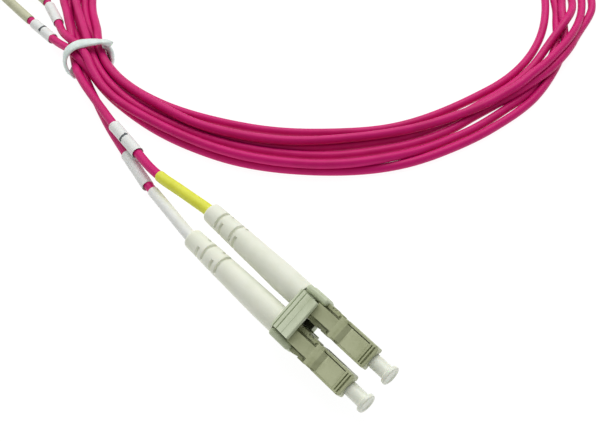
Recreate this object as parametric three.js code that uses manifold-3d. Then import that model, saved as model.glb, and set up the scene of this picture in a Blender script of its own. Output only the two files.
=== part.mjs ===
// Duplex fibre optic patch cord: two small form factor connectors in one clip at each end, two 2 mm jacketed
// cords between them, wound in three round turns and held by a twist tie.
// Millimetres, +Z up. Origin: on the floor under the middle of the near connector pair. The near pair points
// along +Y and leans on one lower edge of its clip, as it lies at the end of its stiff cords.
import * as THREE from 'three';
import { mergeVertices } from 'three/addons/utils/BufferGeometryUtils.js';
import Module from 'manifold-3d';

// ---------------------------------------------------------------- driving dimensions
const PITCH = 6.25;            // between the two connector axes
const NEAR_POS = [-0.12, 20.90, 5.48]; // nose front, between the two axes, near pair
const NEAR_ROLL = 27.66;       // degrees, near pair leans towards +X
const FAR_POS = [-13.68, -172.0, 3.0];       // the same point of the far pair

const NOSE = 4.5;              // square nose, across flats
const NOSE_LEN = 9.2;          // nose length up to the shoulder
const BODY = 4.7;              // square rear block of the housing
const BODY_END = 17.2;         // rear face of the housing, behind the nose front
const CHAMFER = 0.35;          // nose front chamfer
const LIP = 1.1;               // how far the lower front is drawn back
const NOSE_BORE_R = 1.62;
const WEB_BORE_R = 0.92;
const CHAMBER_R = 1.85;

const ARM_ROOT_Y = -2.3;       // root of the latch arm
const ARM_W = 3.2, ARM_REAR_W = 2.5, TAB_W = 4.4;

const FERRULE_R = 0.625, FERRULE_TIP = -0.2, FERRULE_END = -11.2;
const FLANGE_R = 1.5;
const SPRING_R = 1.18, SPRING_WIRE = 0.17, SPRING_Y0 = -12.35, SPRING_Y1 = -17.55;

const CAP_TUBE_R = 1.375, CAP_BORE_R = 0.88, CAP_FLANGE_R = 1.88, CAP_END = 4.2, CAP_FLANGE_T = 0.85, CAP_IN = -3.6;

const POST_Y0 = -17.55, POST_Y1 = -25.0;
const CRIMP_Y0 = -19.9, CRIMP_Y1 = -28.0, CRIMP_RI = 1.72, CRIMP_RO = 1.98;
const BOOT_Y0 = -17.85, BOOT_Y1 = -46.0, BOOT_R0 = 2.62, BOOT_R1 = 2.08;

const CLIP_HALF = 6.2, CLIP_BOTTOM = -3.0, CLIP_TOP = 3.0, CLIP_Y0 = -11.6, CLIP_Y1 = -17.4;
const EAR_IN = 4.35, EAR_TOP = 3.4, EAR_Y0 = -12.0, EAR_Y1 = -17.2;
const TRIG_HALF = 4.1, TRIG_FRONT_Y = -12.85, TRIG_REAR_Y = -17.5, TRIG_FRONT_Z = 5.0, TRIG_REAR_Z = 4.15;

const CORD_R = 1.0;            // 2.0 mm jacket
const SLEEVE_RI = 1.2, SLEEVE_RO = 1.4;     // identification sleeves
const LABEL_RI = 1.2, LABEL_RO = 1.42;      // label tubes
const RING_CENTRE = [-79.14, -73.06];       // coil centre on the floor
const RING_RI = 58.6, RING_RO = 71.0, RING_H = 4.4;

// ---------------------------------------------------------------- helpers
const wasm = await Module();
wasm.setup();
const group = new THREE.Group();
const deg = (a) => (a * Math.PI) / 180;

function toSolid(geo) {
  const g = geo.index ? geo.toNonIndexed() : geo.clone();
  g.deleteAttribute('normal');
  g.deleteAttribute('uv');
  const m = mergeVertices(g, 1e-5);
  return new wasm.Manifold(new wasm.Mesh({
    numProp: 3,
    vertProperties: new Float32Array(m.attributes.position.array),
    triVerts: new Uint32Array(m.index.array),
  }));
}
function toGeometry(solid) {
  const mesh = solid.getMesh();
  const g = new THREE.BufferGeometry();
  g.setAttribute('position', new THREE.BufferAttribute(new Float32Array(mesh.vertProperties), 3));
  g.setIndex(new THREE.BufferAttribute(new Uint32Array(mesh.triVerts), 1));
  g.computeVertexNormals();
  return g;
}
const cut = (a, ...rest) => rest.reduce((s, b) => s.subtract(toSolid(b)), a instanceof THREE.BufferGeometry ? toSolid(a) : a);
const join = (a, ...rest) => rest.reduce((s, b) => s.add(toSolid(b)), a instanceof THREE.BufferGeometry ? toSolid(a) : a);

// box between two corners
function box(x0, x1, y0, y1, z0, z1) {
  return new THREE.BoxGeometry(x1 - x0, y1 - y0, z1 - z0).translate((x0 + x1) / 2, (y0 + y1) / 2, (z0 + z1) / 2);
}
// turned piece about the Y axis; profile in [radius, y], from its first point on round to its last
function turned(profile, segments = 16) {
  const pts = profile.map(([r, y]) => new THREE.Vector2(r, y));
  if (profile[0][0] !== 0 || profile[profile.length - 1][0] !== 0) pts.push(pts[0].clone());
  let area = 0;
  for (let i = 0; i < pts.length; i++) {
    const p = pts[i], q = pts[(i + 1) % pts.length];
    area += p.x * q.y - q.x * p.y;
  }
  if (area < 0) pts.reverse();
  return new THREE.LatheGeometry(pts, segments);
}
// outline in the Y-Z plane, drawn [y, z], extruded across X between x0 and x1
function sideOutline(points, x0, x1) {
  const shape = new THREE.Shape(points.map(([y, z]) => new THREE.Vector2(y, z)));
  const g = new THREE.ExtrudeGeometry(shape, { depth: x1 - x0, bevelEnabled: false });
  const m = new THREE.Matrix4().makeBasis(new THREE.Vector3(0, 1, 0), new THREE.Vector3(0, 0, 1), new THREE.Vector3(1, 0, 0));
  return g.applyMatrix4(m).translate(x0, 0, 0);
}
const circle = (r, n, hole) => {
  const ring = (rr) => Array.from({ length: n }, (_, i) => new THREE.Vector2(rr * Math.cos((2 * Math.PI * (i + 0.5)) / n), rr * Math.sin((2 * Math.PI * (i + 0.5)) / n)));
  const s = new THREE.Shape(ring(r));
  if (hole) s.holes.push(new THREE.Path(ring(hole).reverse()));
  return s;
};
// tube along a curve
const tube = (curve, steps, r, sides = 8, hole = 0) => new THREE.ExtrudeGeometry(circle(r, sides, hole), { steps, extrudePath: curve, bevelEnabled: false });
const curveOf = (points) => new THREE.CatmullRomCurve3(points.map((p) => new THREE.Vector3(...p)), false, 'centripetal');
// the stretch of a curve between two arc lengths
function stretch(curve, s0, s1, n) {
  const len = curve.getLength();
  return new THREE.CatmullRomCurve3(Array.from({ length: n + 1 }, (_, i) => curve.getPointAt(Math.min(1, Math.max(0, (s0 + ((s1 - s0) * i) / n) / len)))), false, 'centripetal');
}

const finish = {
  olive: { color: 0xb4be9b, roughness: 0.42, metalness: 0 },
  ivory: { color: 0xe2e4d6, roughness: 0.55, metalness: 0 },
  cap: { color: 0xe1e4d7, roughness: 0.35, metalness: 0 },
  ceramic: { color: 0xf4f2ea, roughness: 0.15, metalness: 0 },
  steel: { color: 0xb9bcc0, roughness: 0.3, metalness: 1 },
  jacket: { color: 0xc42d6b, roughness: 0.4, metalness: 0 },
  yellow: { color: 0xd7d93c, roughness: 0.45, metalness: 0 },
  white: { color: 0xebece8, roughness: 0.45, metalness: 0 },
  khaki: { color: 0xbebea0, roughness: 0.45, metalness: 0 },
  tie: { color: 0xd7e4de, roughness: 0.4, metalness: 0 },
};
const put = (parent, name, geo, mat) => {
  const g = geo instanceof THREE.BufferGeometry ? geo : toGeometry(geo);
  const mesh = new THREE.Mesh(g, new THREE.MeshStandardMaterial(finish[mat]));
  mesh.name = name;
  parent.add(mesh);
  return mesh;
};

// ---------------------------------------------------------------- the pieces of one connector, on its own axis
function housing() {
  const h = NOSE / 2, b = BODY / 2;
  const outline = [[-NOSE_LEN, -h], [-LIP, -h], [0, 0.1], [0, h - CHAMFER], [-CHAMFER, h], [-NOSE_LEN, h]];
  let s = toSolid(sideOutline(outline, -h, h));
  // side chamfers of the front
  for (const k of [-1, 1]) {
    const wedge = new THREE.Shape([[k * (h - CHAMFER), 0.5], [k * (h + 1), 0.5], [k * (h + 1), -CHAMFER - 1], [k * h, -CHAMFER], [k * (h - CHAMFER), 0]].map(([x, y]) => new THREE.Vector2(x, y)));
    s = cut(s, new THREE.ExtrudeGeometry(wedge, { depth: 8, bevelEnabled: false }).translate(0, 0, -4));
  }
  s = join(s, box(-b, b, -BODY_END, -NOSE_LEN + 0.01, -b, b));
  // stepped bore: cap and ferrule in front, spring chamber behind
  s = cut(s, turned([[0, 1], [NOSE_BORE_R, 1], [NOSE_BORE_R, -6.2], [WEB_BORE_R, -6.2], [WEB_BORE_R, -9.6], [CHAMBER_R, -9.6], [CHAMBER_R, -19], [0, -19]], 20));
  // slot for the latch arm, notch for its shoulders, channel under its rear
  s = cut(s, box(-ARM_W / 2 - 0.25, ARM_W / 2 + 0.25, -9.3, -1.8, 1.3, 4));
  s = cut(s, box(-3, 3, -9.2, -6.9, 1.72, 4));
  s = cut(s, box(-1.6, 1.6, -14.2, -8.8, 1.92, 4));
  // groove across the top of the front, and sides drawn in behind the shoulders
  s = cut(s, box(-1.42, 1.42, -0.84, -0.5, 1.9, 4), box(2.02, 3, -11.3, -8.3, -3, 3), box(-3, -2.02, -11.3, -8.3, -3, 3));
  // side grip recess
  for (const k of [-1, 1]) s = cut(s, box(k > 0 ? h - 0.18 : -h - 1, k > 0 ? h + 1 : -h + 0.18, -8.2, -3.2, -0.9, 0.9));
  return s;
}
function latchArm() {
  const top = [[-2.3, 2.3], [-6.6, 2.42], [-7.6, 2.95], [-8.4, 3.02], [-13.2, 3.92]];
  const bottom = [[-13.2, 3.3], [-8.7, 2.5], [-7.3, 1.98], [-6.6, 1.85], [-2.3, 1.66]];
  const full = sideOutline([...top, ...bottom].reverse(), -ARM_W / 2, ARM_W / 2);
  // narrow the rear
  let s = toSolid(full);
  s = cut(s, box(ARM_REAR_W / 2, 5, -14, -8.5, 0, 6), box(-5, -ARM_REAR_W / 2, -14, -8.5, 0, 6));
  // shoulders
  s = join(s, sideOutline([[-7.35, 2.1], [-7.35, 2.75], [-7.7, 2.98], [-8.5, 3.02], [-8.5, 2.35]].reverse(), -TAB_W / 2, TAB_W / 2));
  return s;
}
const ferrule = () => turned([[0, FERRULE_TIP], [0.45, FERRULE_TIP], [FERRULE_R, FERRULE_TIP - 0.25], [FERRULE_R, FERRULE_END], [0, FERRULE_END]], 14);
const ferruleHolder = () => turned([[0.86, -9.9], [FLANGE_R, -9.9], [FLANGE_R, -11.9], [0.78, -12.1], [0.78, -17.5], [0.4, -17.5], [0.4, -11.5], [0.86, -11.5]], 14);
function spring() {
  const turns = 4, n = 40, pts = [];
  for (let i = 0; i <= n; i++) {
    const a = (2 * Math.PI * turns * i) / n;
    pts.push([SPRING_R * Math.cos(a), SPRING_Y0 - SPRING_WIRE + ((SPRING_Y1 - SPRING_Y0 + 2 * SPRING_WIRE) * i) / n, SPRING_R * Math.sin(a)]);
  }
  return tube(curveOf(pts), 44, SPRING_WIRE, 5);
}
const backPost = () => turned([[1.06, POST_Y0 - 0.3], [2.05, POST_Y0 - 0.3], [2.05, -19.2], [1.44, -19.4], [1.44, POST_Y1], [1.06, POST_Y1]], 16);
const crimpRing = () => turned([[CRIMP_RI, CRIMP_Y0], [CRIMP_RO, CRIMP_Y0], [CRIMP_RO, -25.2], [1.6, -26], [1.6, CRIMP_Y1], [1.3, CRIMP_Y1], [1.3, -25.8], [CRIMP_RI, -25.1]], 16);
const boot = () => turned([
  [2.3, BOOT_Y0], [BOOT_R0, BOOT_Y0], [2.66, -23.5], [2.5, -30], [2.3, -38], [BOOT_R1, BOOT_Y1 + 0.3], [BOOT_R1 - 0.2, BOOT_Y1],
  [1.35, BOOT_Y1], [1.35, -30], [2.3, -28.6]], 20);
const dustCap = () => turned([
  [0, CAP_END], [CAP_FLANGE_R - 0.15, CAP_END], [CAP_FLANGE_R, CAP_END - 0.15], [CAP_FLANGE_R, CAP_END - CAP_FLANGE_T], [CAP_TUBE_R, CAP_END - CAP_FLANGE_T],
  [CAP_TUBE_R, CAP_IN], [CAP_BORE_R, CAP_IN], [CAP_BORE_R, 2.6], [0, 2.6]], 20);

// ---------------------------------------------------------------- the clip that pairs two connectors
function clipBody() {
  let s = toSolid(box(-CLIP_HALF, CLIP_HALF, CLIP_Y1, CLIP_Y0, CLIP_BOTTOM, CLIP_TOP));
  for (const k of [-1, 1]) {
    const x0 = k > 0 ? EAR_IN : -CLIP_HALF, x1 = k > 0 ? CLIP_HALF : -EAR_IN;
    s = join(s, sideOutline([[EAR_Y1 + 0.6, 1.6], [EAR_Y1, 2.2], [EAR_Y1, 2.9], [EAR_Y1 + 0.55, EAR_TOP], [EAR_Y0 - 0.3, EAR_TOP], [EAR_Y0, 3.1], [EAR_Y0, 1.6]].reverse(), x0, x1));
  }
  for (const k of [-1, 1]) {
    const c = (k * PITCH) / 2;
    s = cut(s, box(c - 2.63, c + 2.63, -20, -10, -2.65, 2.65), box(c - 1.65, c + 1.65, -14.4, -10, 2, 4));
  }
  // front: top plate set back, side walls raked back towards the bottom
  s = cut(s, box(-5.3, 5.3, -12.7, -10, 2, 4), box(-1.6, 1.6, -13.9, -10, 2, 4));
  for (const k of [-1, 1]) {
    const x0 = k > 0 ? 5.3 : -7, x1 = k > 0 ? 7 : -5.3;
    s = cut(s, sideOutline([[-10, 4], [EAR_Y0, 4], [EAR_Y0, 2.2], [-14.7, -2.6], [-14.7, -4], [-10, -4]].reverse(), x0, x1));
  }
  // rounded lower edges
  for (const k of [-1, 1]) {
    const tri = new THREE.Shape([[k * (CLIP_HALF + 0.5), CLIP_BOTTOM - 0.5], [k * (CLIP_HALF + 0.5), CLIP_BOTTOM + 0.12], [k * CLIP_HALF, CLIP_BOTTOM + 0.12], [k * (CLIP_HALF - 0.12), CLIP_BOTTOM], [k * (CLIP_HALF - 0.12), CLIP_BOTTOM - 0.5]].map(([x, z]) => new THREE.Vector2(x, z)));
    const g = new THREE.ExtrudeGeometry(tri, { depth: 12, bevelEnabled: false }).rotateX(Math.PI / 2).translate(0, -9, 0);
    s = cut(s, g);
  }
  return s;
}
function trigger() {
  const top = [[TRIG_REAR_Y, TRIG_REAR_Z - 0.15], [TRIG_REAR_Y + 0.15, TRIG_REAR_Z], [TRIG_FRONT_Y - 0.12, TRIG_FRONT_Z], [TRIG_FRONT_Y, TRIG_FRONT_Z - 0.12]];
  const bottom = [[TRIG_FRONT_Y, 4.2], [-16.3, 3.62], [-16.6, 3.3], [TRIG_REAR_Y, 3.3]];
  return toSolid(sideOutline([...top, ...bottom].reverse(), -TRIG_HALF, TRIG_HALF));
}

// both connectors and the clip of one end
function pair(end) {
  const g = new THREE.Group();
  for (const [side, x] of [['a', -PITCH / 2], ['b', PITCH / 2]]) {
    const c = new THREE.Group();
    c.position.x = x;
    const n = (w) => `${end}_${w}_${side}`;
    put(c, n('housing'), housing(), 'olive');
    put(c, n('latch_arm'), latchArm(), 'olive');
    put(c, n('ferrule'), ferrule(), 'ceramic');
    put(c, n('ferrule_holder'), ferruleHolder(), 'steel');
    put(c, n('spring'), spring(), 'steel');
    put(c, n('back_post'), backPost(), 'steel');
    put(c, n('crimp_ring'), crimpRing(), 'steel');
    put(c, n('boot'), boot(), 'ivory');
    put(c, n('dust_cap'), dustCap(), 'cap');
    g.add(c);
  }
  put(g, `${end}_clip_body`, clipBody(), 'olive');
  put(g, `${end}_clip_trigger`, trigger(), 'olive');
  return g;
}
const near = pair('near');
near.rotation.y = deg(NEAR_ROLL);
near.position.set(...NEAR_POS);
group.add(near);

// far pair: lies flat on the floor, its connectors point along -Y
const far = pair('far');
far.rotation.z = Math.PI;
far.position.set(...FAR_POS);
group.add(far);

// ---------------------------------------------------------------- the two cords
// centre lines, from the crimp ring inside the near boots to the coil, and from the coil to the far crimp rings
const legs = {
  near_leg_a: [[-2.87, -4.70, 6.99], [-2.87, -12.2, 6.99], [-2.87, -19.7, 6.99], [-2.86, -24.5, 6.98], [-2.62, -28.0, 6.80], [-2.24, -31.5, 6.40], [-1.90, -34.9, 5.93],
    [-1.83, -38.39, 5.46], [-2.02, -42.11, 4.97], [-2.35, -45.82, 4.50], [-2.76, -49.54, 4.18], [-3.19, -53.27, 3.97], [-3.63, -57.00, 3.76], [-4.07, -60.73, 3.55],
    [-4.58, -64.44, 3.33], [-5.40, -68.08, 3.13], [-6.21, -71.77, 3.02], [-6.83, -75.48, 2.99], [-7.10, -77.60, 3.00]],
  near_leg_b: [[2.67, -4.70, 4.09], [2.67, -12.3, 4.09], [2.67, -19.9, 4.09], [2.66, -24.5, 4.08], [2.36, -28.0, 3.80], [1.77, -31.4, 3.27], [1.18, -34.86, 2.65],
    [0.70, -38.58, 2.00], [0.16, -42.31, 1.64], [-0.54, -46.04, 1.60], [-1.23, -49.78, 1.56], [-1.92, -53.52, 1.50], [-2.65, -57.23, 1.30], [-3.34, -60.96, 1.08],
    [-4.02, -64.70, 1.02], [-4.85, -68.41, 1.01], [-5.65, -72.12, 1.01], [-6.36, -75.85, 1.01], [-6.72, -77.90, 1.01]],
  far_leg_a: [[-10.9, -96.0, 2.0], [-11.29, -99.2, 1.62], [-11.26, -102.4, 1.60], [-11.18, -105.9, 1.60], [-11.08, -109.4, 1.62], [-10.92, -113.2, 1.86], [-10.74, -117.6, 2.35],
    [-10.60, -121.8, 2.80], [-10.555, -126.0, 3.0], [-10.555, -132.6, 3.0], [-10.555, -139.4, 3.0], [-10.555, -146.3, 3.0]],
  far_leg_b: [[-15.05, -101.8, 1.3], [-15.75, -104.3, 1.55], [-16.62, -107.4, 1.60], [-17.49, -110.5, 1.60], [-18.14, -113.4, 1.70], [-18.22, -116.6, 1.98], [-17.72, -119.8, 2.40],
    [-17.08, -123.0, 2.82], [-16.82, -126.0, 3.0], [-16.805, -132.6, 3.0], [-16.805, -139.4, 3.0], [-16.805, -146.3, 3.0]],
};
const curve = {};
for (const [name, pts] of Object.entries(legs)) {
  curve[name] = curveOf(pts);
  put(group, name, tube(curve[name], name.startsWith('near') ? 22 : 14, CORD_R), 'jacket');
}
// arc length along a leg at which it passes a given y
function lengthAt(name, y) {
  const c = curve[name], len = c.getLength();
  let best = 0, d = 1e9;
  for (let i = 0; i <= 600; i++) {
    const e = Math.abs(c.getPointAt(i / 600).y - y);
    if (e < d) { d = e; best = (i / 600) * len; }
  }
  return best;
}
const over = (name, y0, y1, ri, ro, n, sides = 8) => {
  const s0 = lengthAt(name, y0), s1 = lengthAt(name, y1);
  return tube(stretch(curve[name], s0, s1, n), n, ro, sides, ri);
};
// straight tube between two points of a leg
const straightOver = (name, y0, y1, ri, ro, sides = 8) => {
  const c = curve[name], len = c.getLength();
  const p = c.getPointAt(lengthAt(name, y0) / len), q = c.getPointAt(lengthAt(name, y1) / len);
  return tube(new THREE.LineCurve3(p, q), 1, ro, sides, ri);
};
put(group, 'near_id_sleeve_a', over('near_leg_a', -25.4, -41.3, SLEEVE_RI, SLEEVE_RO, 4), 'yellow');
put(group, 'near_id_sleeve_b', over('near_leg_b', -25.4, -41.1, SLEEVE_RI, SLEEVE_RO, 4), 'white');
put(group, 'far_id_sleeve_a', over('far_leg_a', -109.9, -125.6, SLEEVE_RI, SLEEVE_RO, 4), 'khaki');
put(group, 'far_id_sleeve_b', over('far_leg_b', -113.6, -125.6, SLEEVE_RI, SLEEVE_RO, 4), 'khaki');
put(group, 'near_label_tube_a', straightOver('near_leg_a', -50.1, -61.2, LABEL_RI, LABEL_RO), 'white');
put(group, 'near_label_tube_b', straightOver('near_leg_b', -42.9, -53.6, LABEL_RI, LABEL_RO), 'white');
put(group, 'far_label_tube_a', straightOver('far_leg_a', -99.8, -108.2, LABEL_RI, LABEL_RO), 'white');
put(group, 'far_label_tube_b', straightOver('far_leg_b', -104.4, -112.2, LABEL_RI, LABEL_RO), 'white');

// the coil: three turns of both cords, drawn in to a narrow neck where the tie goes round it
{
  const [cx, cy] = RING_CENTRE, ri = RING_RI, ro = RING_RO, h = RING_H, c = 1.3;
  const ring = turned([[ri, c], [ri + c, 0.0], [ro - c, 0.0], [ro, c], [ro, h - c], [ro - c, h], [ri + c, h], [ri, h - c]], 56).rotateX(Math.PI / 2);
  ring.translate(cx, cy, 0);
  const a0 = deg(-33), a1 = deg(3), far_r = 95;
  const sector = new THREE.Shape([[0, 0], [far_r * Math.cos(a0), far_r * Math.sin(a0)], [far_r, 20 * Math.sin(deg(-15))], [far_r * Math.cos(a1), far_r * Math.sin(a1)]].map(([x, y]) => new THREE.Vector2(cx + x, cy + y)));
  let s = cut(ring, new THREE.ExtrudeGeometry(sector, { depth: 8, bevelEnabled: false }).translate(0, 0, -2));
  const neckLine = curveOf([[-14.9, -63.5, 2.8], [-13.7, -69.5, 2.8], [-12.9, -75.0, 2.8], [-12.9, -81.0, 2.8], [-14.2, -88.3, 2.8], [-16.7, -95.0, 2.8], [-20.4, -102.1, 2.8], [-27.0, -111.6, 2.8]]);
  const hw = 3.2, hh = 1.85, k = 0.8;
  const section = new THREE.Shape([[-hh, -hw + k], [-hh + k, -hw], [hh - k, -hw], [hh, -hw + k], [hh, hw - k], [hh - k, hw], [-hh + k, hw], [-hh, hw - k]].map(([x, y]) => new THREE.Vector2(x, y)));
  s = join(s, new THREE.ExtrudeGeometry(section, { steps: 12, extrudePath: neckLine, bevelEnabled: false }));
  put(group, 'cord_coil', s, 'jacket');
  // twist tie round the neck
  const tie = new THREE.Shape([[-5, 1], [-4.2, 0], [4.2, 0], [5, 1], [5, 4.7], [4.2, 5.6], [-4.2, 5.6], [-5, 4.7]].map(([x, y]) => new THREE.Vector2(x, y)));
  tie.holes.push(new THREE.Path([[-4.25, 0.65], [-4.25, 4.95], [4.25, 4.95], [4.25, 0.65]].map(([x, y]) => new THREE.Vector2(x, y))));
  const t = new THREE.ExtrudeGeometry(tie, { depth: 1.7, bevelEnabled: false }).translate(0, 0, -0.85);
  t.rotateX(Math.PI / 2).rotateZ(deg(-16.5)).translate(-14.45, -89.2, 0);
  put(group, 'twist_tie', t, 'tie');
}

export default group;
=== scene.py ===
import math

import bmesh
import bpy
import numpy as np
from mathutils import Matrix, Vector


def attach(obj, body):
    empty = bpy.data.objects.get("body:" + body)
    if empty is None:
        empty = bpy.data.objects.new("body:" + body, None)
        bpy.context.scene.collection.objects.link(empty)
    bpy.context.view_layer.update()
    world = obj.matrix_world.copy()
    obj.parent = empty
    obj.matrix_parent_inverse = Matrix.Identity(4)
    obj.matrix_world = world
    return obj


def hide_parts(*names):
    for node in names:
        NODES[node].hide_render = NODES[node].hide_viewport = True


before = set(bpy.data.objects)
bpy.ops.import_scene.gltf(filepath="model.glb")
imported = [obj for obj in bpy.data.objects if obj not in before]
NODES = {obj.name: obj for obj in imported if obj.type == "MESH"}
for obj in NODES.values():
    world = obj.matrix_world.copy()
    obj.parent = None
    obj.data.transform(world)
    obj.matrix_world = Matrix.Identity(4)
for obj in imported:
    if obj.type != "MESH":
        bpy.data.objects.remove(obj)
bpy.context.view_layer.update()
scene = bpy.context.scene
scene.view_settings.view_transform = "Standard"
MM = 0.001

# ------------------------------------------------------------------ camera
cam_data = bpy.data.cameras.new("camera")
cam_data.lens = 50
cam_data.sensor_width = 36
cam_data.clip_start = 0.004
cam_data.clip_end = 10
camera = bpy.data.objects.new("camera", cam_data)
scene.collection.objects.link(camera)
right = Vector((-0.7429, 0.6694, 0)).normalized()
look = Vector((-0.4303, -0.4775, -0.7660)).normalized()
up = right.cross(look).normalized()
camera.matrix_world = Matrix((
    (right.x, up.x, -look.x, 0.05586),
    (right.y, up.y, -look.y, 0.06709),
    (right.z, up.z, -look.z, 0.13204),
    (0, 0, 0, 1)))
scene.camera = camera


# ------------------------------------------------------------------ materials
def lin(rgb):
    return tuple((c / 255 / 12.92 if c / 255 <= 0.04045 else ((c / 255 + 0.055) / 1.055) ** 2.4) for c in rgb)


def material(name, rgb, dark, rough=0.45, spread=0.06, patch=260, grain=5200, bump=0.10, coat=0.0, coat_rough=0.2,
             sheen=0.0, sss=0.0, metal=0.0, spec=0.5, streak=None, edge_highlight=0.25):
    """Moulded or extruded plastic: cloudy tone between two colours, fine grain in tone, roughness and relief; sharp
    convex edges are painted paler, a painted highlight.
    """
    m = bpy.data.materials.new(name)
    m.use_nodes = True
    nt = m.node_tree
    nt.nodes.clear()
    N, L = nt.nodes.new, nt.links.new
    out = N("ShaderNodeOutputMaterial")
    b = N("ShaderNodeBsdfPrincipled")
    L(b.outputs[0], out.inputs[0])
    tc = N("ShaderNodeTexCoord")
    src = tc.outputs["Object"]
    if streak:
        mp = N("ShaderNodeMapping")
        mp.inputs["Scale"].default_value = streak
        L(src, mp.inputs[0])
        src_s = mp.outputs[0]
    else:
        src_s = src
    big = N("ShaderNodeTexNoise")
    big.inputs["Scale"].default_value = patch
    big.inputs["Detail"].default_value = 4
    big.inputs["Roughness"].default_value = 0.6
    L(src_s, big.inputs["Vector"])
    fine = N("ShaderNodeTexNoise")
    fine.inputs["Scale"].default_value = grain
    fine.inputs["Detail"].default_value = 3
    L(src, fine.inputs["Vector"])
    ramp = N("ShaderNodeValToRGB")
    a, c = lin(rgb), lin(dark)
    ramp.color_ramp.elements[0].position = 0.28
    ramp.color_ramp.elements[0].color = (*c, 1)
    ramp.color_ramp.elements[1].position = 0.55
    ramp.color_ramp.elements[1].color = (*a, 1)
    L(big.outputs[0], ramp.inputs[0])
    speck = N("ShaderNodeMix")
    speck.data_type = "RGBA"
    speck.blend_type = "OVERLAY"
    speck.inputs[0].default_value = spread
    L(ramp.outputs[0], speck.inputs["A"])
    L(fine.outputs[0], speck.inputs["B"])
    # painted highlight: sharp convex edges are made paler, standing in for light caught by the edges
    geo = N("ShaderNodeNewGeometry")
    edge_highlight_mask = N("ShaderNodeValToRGB")
    edge_highlight_mask.color_ramp.elements[0].position = 0.52
    edge_highlight_mask.color_ramp.elements[0].color = (0, 0, 0, 1)
    edge_highlight_mask.color_ramp.elements[1].position = 0.72
    edge_highlight_mask.color_ramp.elements[1].color = (edge_highlight, edge_highlight, edge_highlight, 1)
    L(geo.outputs["Pointiness"], edge_highlight_mask.inputs[0])
    edge_highlight_mix = N("ShaderNodeMix")
    edge_highlight_mix.data_type = "RGBA"
    edge_highlight_mix.blend_type = "SCREEN"
    L(edge_highlight_mask.outputs[0], edge_highlight_mix.inputs[0])
    L(speck.outputs["Result"], edge_highlight_mix.inputs["A"])
    highlight_colour = tuple(min(1, v * 1.2 + 0.03) for v in a)
    edge_highlight_mix.inputs["B"].default_value = (*highlight_colour, 1)
    L(edge_highlight_mix.outputs["Result"], b.inputs["Base Color"])
    mr = N("ShaderNodeMapRange")
    mr.inputs["From Min"].default_value = 0.25
    mr.inputs["From Max"].default_value = 0.75
    mr.inputs["To Min"].default_value = max(0.05, rough - 0.07)
    mr.inputs["To Max"].default_value = min(1, rough + 0.07)
    L(fine.outputs[0], mr.inputs[0])
    L(mr.outputs[0], b.inputs["Roughness"])
    bp = N("ShaderNodeBump")
    bp.inputs["Strength"].default_value = bump
    bp.inputs["Distance"].default_value = 0.00006
    L(fine.outputs[0], bp.inputs["Height"])
    L(bp.outputs[0], b.inputs["Normal"])
    b.inputs["Coat Weight"].default_value = coat
    b.inputs["Coat Roughness"].default_value = coat_rough
    b.inputs["Sheen Weight"].default_value = sheen
    b.inputs["Metallic"].default_value = metal
    b.inputs["Specular IOR Level"].default_value = spec
    if sss:
        b.inputs["Subsurface Weight"].default_value = sss
        b.inputs["Subsurface Radius"].default_value = (0.0006, 0.0005, 0.0004)
        b.inputs["Subsurface Scale"].default_value = 1.0
    return m


MAT = {
    "olive_plastic": material("olive_plastic", (170, 175, 138), (153, 158, 119), rough=0.38, spec=0.45, spread=0.10, patch=420, grain=6500, bump=0.14),
    # near-black plastic for the pocket between the two connectors: painted shade
    "pocket_shade_plastic": material("pocket_shade_plastic", (74, 76, 60), (50, 52, 40), rough=0.6, spec=0.3, spread=0.10, patch=420, grain=6500, bump=0.14),
    "clip_plastic": material("clip_plastic", (188, 197, 168), (176, 185, 153), rough=0.38, spec=0.45, spread=0.10, patch=420, grain=6500, bump=0.14),
    "boot_plastic": material("boot_plastic", (230, 232, 217), (224, 227, 209), rough=0.55, spec=0.3, sss=0.12, patch=300, grain=5200, bump=0.12),
    "cap_plastic": material("cap_plastic", (226, 229, 216), (219, 223, 207), rough=0.36, spec=0.4, sss=0.2, patch=380, grain=5000, bump=0.06),
    "ceramic": material("ceramic", (245, 243, 235), (240, 238, 228), rough=0.12, spec=0.6, patch=900, grain=9000, bump=0.02),
    "steel": material("steel", (188, 190, 193), (170, 172, 176), rough=0.28, metal=1.0, spread=0.2, patch=700, grain=9000, bump=0.15, streak=(1, 14, 1)),
    "jacket": material("jacket", (202, 12, 110), (190, 6, 99), rough=0.46, spec=0.22, spread=0.06, patch=160, grain=4300, bump=0.16, edge_highlight=0.0),
    "sleeve_yellow": material("sleeve_yellow", (222, 224, 66), (212, 214, 50), rough=0.4, spec=0.4, sss=0.1, patch=300, grain=4600, bump=0.10),
    "sleeve_white": material("sleeve_white", (228, 229, 224), (219, 221, 214), rough=0.42, spec=0.35, sss=0.12, patch=300, grain=4600, bump=0.10),
    # far sleeves: a light sleeve colour darkened to how it looks in dimmer light, painted shade
    "sleeve_khaki": material("sleeve_khaki", (192, 192, 162), (180, 181, 150), rough=0.45, spec=0.35, patch=300, grain=4600, bump=0.10),
    "label_white": material("label_white", (229, 230, 226), (220, 222, 217), rough=0.45, spec=0.35, sss=0.12, patch=320, grain=5000, bump=0.07),
    "tie_plastic": material("tie_plastic", (221, 233, 228), (208, 223, 217), rough=0.32, spec=0.45, sss=0.15, patch=500, grain=5200, bump=0.10),
}
INK = material("label_ink", (92, 96, 98), (74, 78, 80), rough=0.6, spec=0.2, patch=2600, grain=9000, bump=0.05, edge_highlight=0.0)


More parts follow.
